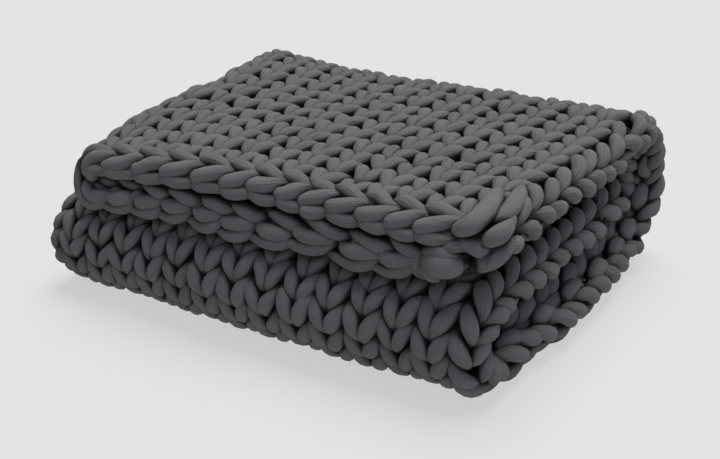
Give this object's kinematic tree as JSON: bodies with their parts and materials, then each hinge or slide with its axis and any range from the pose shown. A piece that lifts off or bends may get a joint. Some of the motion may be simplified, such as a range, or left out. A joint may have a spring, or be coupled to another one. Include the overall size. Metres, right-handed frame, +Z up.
{
  "type": "weighted blanket",
  "caption": "Chunky hand-knitted weighted blanket, doubled and then folded in three, lying flat on its bottom panel.",
  "frame": {"origin": "centre of the blanket's outline, on the surface it lies on", "axes": "+X along the front fold towards the side edges, +Y from the front fold to the back fold, +Z up"},
  "size_m": [0.617, 0.527, 0.216],
  "materials": {
    "jersey_yarn": "matte dark charcoal-grey jersey cotton tube, with a soft sheen"
  },
  "bodies": {
    "root": {"knit_blanket": "jersey_yarn"}
  },
  "joints": []
}
